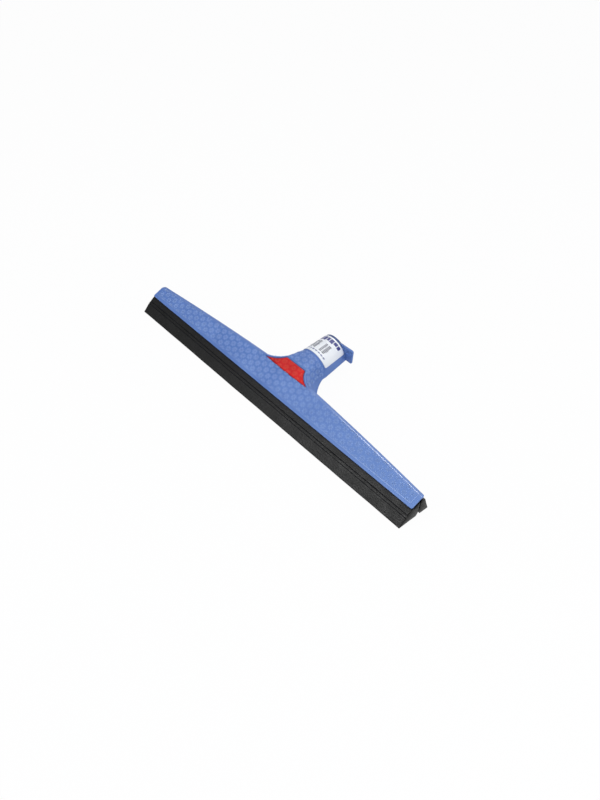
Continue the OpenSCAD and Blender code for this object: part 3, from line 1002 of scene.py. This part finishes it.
LABEL_EDGE = 1.2
LABEL_TOP = 3.4
LABEL_LOW = SOCKET_LEN - 0.3
LABEL_RISE = math.radians(6)
LABEL_LIFT = 0.32
LABEL_THICK = 0.22
LABEL_CORNER = 0.9
PRINT_LIFT = 0.34
PRINT_THICK = 0.03
BLOCK_LOW = 5.3
BLOCK_HIGH = 8.8
DASH_LOW = 14.0
DASH_STEP = 1.8
DASH_H = 1.15
DASHES = ((-0.74, -0.6), (-0.57, -0.36), (-0.33, -0.14), (0.06, 0.2), (0.23, 0.42))
FOOT_LINE = 28.2


def label_point(turn, a, lift):
    """A point on the label: turn round the socket from its crest, a from the mouth, lift off the socket."""
    r = SOCKET_R + SOCKET_DRAFT * a + lift
    return socket_point(r * math.sin(turn), r * math.cos(turn), a)


def label_reach(a):
    """The label's half angle at a: its lower edges run up a little towards the blade."""
    r = SOCKET_R + SOCKET_DRAFT * a
    return math.acos((LABEL_EDGE + math.tan(LABEL_RISE) * a) / r)


def curved_patch(name, material, low, high, left, right, lift=PRINT_LIFT, thick=PRINT_THICK, corner=0.0):
    """A thin printed or pasted patch on the socket, from low to high and between two shares of the reach."""
    across, along = 56, 20
    verts, faces = [], []
    for side in (0, 1):
        for i in range(along + 1):
            a = low + (high - low) * i / along
            edge = min(i, along - i) / along * (high - low)
            nip = max(0.0, corner - math.sqrt(max(0.0, corner ** 2 - max(0.0, corner - edge) ** 2)))
            for j in range(across + 1):
                share = left + (right - left) * j / across
                reach = label_reach(a) - nip / SOCKET_R
                verts.append(label_point(share * reach, a, lift - side * thick) * MM)
    size = (along + 1) * (across + 1)
    for i in range(along):
        for j in range(across):
            k = i * (across + 1) + j
            quad = (k, k + 1, k + across + 2, k + across + 1)
            faces.append(quad[::-1])
            faces.append(tuple(size + v for v in quad))
    rim = list(range(across + 1))
    rim += [i * (across + 1) + across for i in range(1, along + 1)]
    rim += [along * (across + 1) + j for j in range(across - 1, -1, -1)]
    rim += [i * (across + 1) for i in range(along - 1, 0, -1)]
    for i, k in enumerate(rim):
        m = rim[(i + 1) % len(rim)]
        faces.append((k, m, size + m, size + k))
    return add_piece(name, verts, faces, material)


def make_label(paper, ink_blue, ink_grey):
    """The paper and its plain print: blocks at the top, rows of dashes and small blocks at the foot."""
    sheet = curved_patch("socket_label_sheet", paper, LABEL_TOP, LABEL_LOW, -1, 1,
                         LABEL_LIFT, LABEL_THICK, LABEL_CORNER)
    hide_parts("socket_label")
    chance = random.Random(5)
    left = -0.8
    for i in range(7):
        right = left + chance.uniform(0.14, 0.2)
        high = BLOCK_HIGH + chance.uniform(0.0, 2.6)
        curved_patch(f"label_block{i}", ink_blue, BLOCK_LOW, high, left, right)
        left = right + 0.035
    for i in range(7):
        low = DASH_LOW + i * DASH_STEP
        for k, (left, right) in enumerate(DASHES):
            wide = (right - left) * chance.uniform(0.75, 1.0)
            curved_patch(f"label_dash{i}_{k}", ink_grey, low, low + DASH_H, left, left + wide)
    for i in range(8):
        left = -0.7 + i * 0.17
        high = FOOT_LINE + 0.7 + chance.uniform(0.2, 0.7)
        curved_patch(f"label_foot{i}", ink_blue, FOOT_LINE, high, left, left + 0.11)


# Thread inside the socket

def socket_thread(material):
    """The coarse moulded thread in the socket that a handle's end screws into."""
    start, pitch, turns, per_turn, depth, half = 5.0, 5.0, 6, 40, 0.9, 0.9
    root, crest_half = BORE_R + 0.3, half * 0.35
    steps = turns * per_turn
    verts = []
    for i in range(steps + 1):
        angle = 2 * math.pi * i / per_turn
        a = start + pitch * i / per_turn
        # The thread runs in and out over half a turn
        fade = min(1.0, i / 20, (steps - i) / 20)
        inner = BORE_R - depth * fade
        for r, da in ((root, -half), (inner, -crest_half), (inner, crest_half), (root, half)):
            verts.append(socket_point(r * math.sin(angle), r * math.cos(angle), a + da) * MM)
    obj = add_piece("socket_thread", verts, closed_tube(steps + 1, 4), material)
    turn_outward(obj.data)


# Stage and light

FLOOR_HALF = 6.0
FLOOR_Z = -0.0004
FLOOR_WHITE = 0.96
WORLD_LIGHT = 0.5


def shows_background(tree):
    """1 for camera, glossy and transmission rays, which all show the white background."""
    rays = tree.nodes.new("ShaderNodeLightPath")
    shown = rays.outputs["Is Camera Ray"]
    for kind in ("Is Glossy Ray", "Is Transmission Ray"):
        either = tree.nodes.new("ShaderNodeMath")
        either.operation = "MAXIMUM"
        tree.links.new(shown, either.inputs[0])
        tree.links.new(rays.outputs[kind], either.inputs[1])
        shown = either.outputs[0]
    return shown


def make_stage():
    """A pale floor that looks white and keeps the object's shadow."""
    n = Nodes("studio_floor")
    tree = n.tree
    n.link(n.ramp(n.noise(3, 2), (0.4, srgb(236, 237, 240)), (0.6, srgb(240, 241, 243))), "Base Color")
    n.shader.inputs["Roughness"].default_value = 0.9
    glow = tree.nodes.new("ShaderNodeEmission")
    glow.inputs["Color"].default_value = (1, 1, 1, 1)
    mixer = tree.nodes.new("ShaderNodeMixShader")
    share = n.math("MULTIPLY", shows_background(tree), FLOOR_WHITE)
    tree.links.new(share, mixer.inputs[0])
    tree.links.new(n.shader.outputs[0], mixer.inputs[1])
    tree.links.new(glow.outputs[0], mixer.inputs[2])
    tree.links.new(mixer.outputs[0], tree.nodes["Material Output"].inputs["Surface"])
    corners = [(x * FLOOR_HALF, y * FLOOR_HALF, FLOOR_Z) for x, y in ((-1, -1), (1, -1), (1, 1), (-1, 1))]
    mesh = bpy.data.meshes.new("floor")
    mesh.from_pydata(corners, [], [(0, 1, 2, 3)])
    floor = bpy.data.objects.new("floor", mesh)
    floor.data.materials.append(n.material)
    bpy.context.scene.collection.objects.link(floor)


def make_world():
    """Soft, faintly cool light from all round, with a white background."""
    world = bpy.data.worlds.new("studio")
    bpy.context.scene.world = world
    world.use_nodes = True
    tree = world.node_tree
    back = tree.nodes["Background"]
    back.inputs["Color"].default_value = (0.93, 0.95, 1.0, 1)
    back.inputs["Strength"].default_value = WORLD_LIGHT
    white = tree.nodes.new("ShaderNodeBackground")
    white.inputs["Color"].default_value = (1, 1, 1, 1)
    white.inputs["Strength"].default_value = 1.0
    mixer = tree.nodes.new("ShaderNodeMixShader")
    tree.links.new(shows_background(tree), mixer.inputs[0])
    tree.links.new(back.outputs[0], mixer.inputs[1])
    tree.links.new(white.outputs[0], mixer.inputs[2])
    tree.links.new(mixer.outputs[0], tree.nodes["World Output"].inputs["Surface"])


def area_light(name, at, aim, size, power, color=(1, 1, 1)):
    data = bpy.data.lights.new(name, "AREA")
    data.shape = "RECTANGLE"
    data.size, data.size_y = size
    data.energy = power
    data.color = color
    lamp = bpy.data.objects.new(name, data)
    lamp.location = at
    lamp.rotation_euler = (Vector(aim) - Vector(at)).to_track_quat("-Z", "Y").to_euler()
    bpy.context.scene.collection.objects.link(lamp)
    return lamp


def make_lights():
    area_light("top", at=(0.5, -0.05, 1.15), aim=(0.08, -0.02, 0.02), size=(0.7, 0.6), power=4.9,
               color=(1.0, 0.995, 0.98))
    area_light("front", at=(-0.25, -1.05, 0.7), aim=(0.05, 0, 0.02), size=(0.7, 0.4), power=3.2,
               color=(0.97, 0.985, 1.0))
    area_light("side", at=(1.0, -0.15, 0.5), aim=(0.05, 0.02, 0.03), size=(0.4, 0.4), power=1.7)
    # A bright strip behind the head, which only shows as the line of light along the right wing's ridge
    strip = area_light("strip", at=(-0.22, 0.62, 0.62), aim=(0.05, 0.0, 0.03), size=(0.34, 0.06), power=7.0)
    strip.visible_diffuse = False
    # A panel in front, mirrored by the right half of the foam's face
    sheen = area_light("sheen", at=(-0.26, -1.0, 0.63), aim=(0.15, -0.05, 0.01), size=(0.3, 0.25), power=12.5)
    sheen.visible_diffuse = False


make_camera()
make_world()
make_lights()
make_stage()
bpy.context.scene.view_settings.view_transform = "Standard"

# Colours, with painted shade in gaps and corners; the fades along X paint light and shade: a sheen on the
# housing's right end, a highlight on the border line's right end, weaker painted lightening on the petals
# there and shade on the insert's left end
navy = srgb(44, 62, 112)
maroon = srgb(92, 12, 18)
# The housing turns lighter towards its right end: a painted sheen. Its shade colour, navy, is the painted
# shade in its gaps and on the socket's rim.
blue = moulded_plastic(
    "housing_plastic", base=srgb(90, 123, 189), light=srgb(99, 132, 197), dark=srgb(82, 115, 181),
    shade=navy, roughness=0.5, coat=0.5, fade=(srgb(109, 140, 199), 0.0, 0.18, 0.8),
)
# The petals are the housing's own plastic painted lighter: a painted highlight for the light their raised
# domes catch. Towards the right end the lightening eases off.
petal_blue_lit = moulded_plastic(
    "petal_plastic_lit", base=srgb(160, 188, 238), light=srgb(176, 202, 247), dark=srgb(147, 176, 228),
    shade=navy, roughness=0.5, fade=(srgb(134, 164, 216), 0.03, 0.15, 0.6), gloss=0.08,
)
# The border line is the housing's plastic painted lighter: a painted highlight along the raised line,
# brighter still towards the right end.
line_blue_lit = moulded_plastic(
    "line_plastic_lit", base=srgb(110, 141, 201), light=srgb(122, 153, 211), dark=srgb(101, 132, 193),
    shade=navy, roughness=0.46, fade=(srgb(150, 178, 230), 0.04, 0.16, 0.85), gloss=0.15,
)
# The insert turns darker at its left end: painted shade on the side that leans away from the light.
red = moulded_plastic(
    "accent_plastic", base=srgb(210, 16, 18), light=srgb(222, 30, 28), dark=srgb(188, 10, 16),
    shade=maroon, roughness=0.42, fade=(srgb(148, 8, 22), -0.013, -0.019, 0.6),
)
# The insert's petals are its own plastic painted lighter: a painted highlight for the light their raised
# domes catch.
petal_red_lit = moulded_plastic(
    "petal_accent_lit", base=srgb(240, 88, 68), light=srgb(250, 112, 88), dark=srgb(224, 70, 56),
    shade=maroon, roughness=0.5, gloss=0.08,
)

housing = make_shell(blue)
make_insert(red)
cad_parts["lip_carrier"].data.materials.clear()
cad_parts["lip_carrier"].data.materials.append(extruded_plastic())

panel_texture(petal_blue_lit)
neck_texture(petal_blue_lit, housing)
insert_texture(petal_red_lit)
panel_border(line_blue_lit)
# The second foam is darker, for the faces of the pressed grooves: painted shade.
make_lips(foam_rubber("foam_rubber", 0.62), foam_rubber("foam_groove_shade", 0.4))
make_label(
    label_paper(),
    print_ink("ink_blue", srgb(50, 54, 124), srgb(84, 90, 154)),
    print_ink("ink_grey", srgb(56, 58, 80), srgb(106, 108, 126)),
)
socket_thread(blue)

bpy.context.view_layer.update()
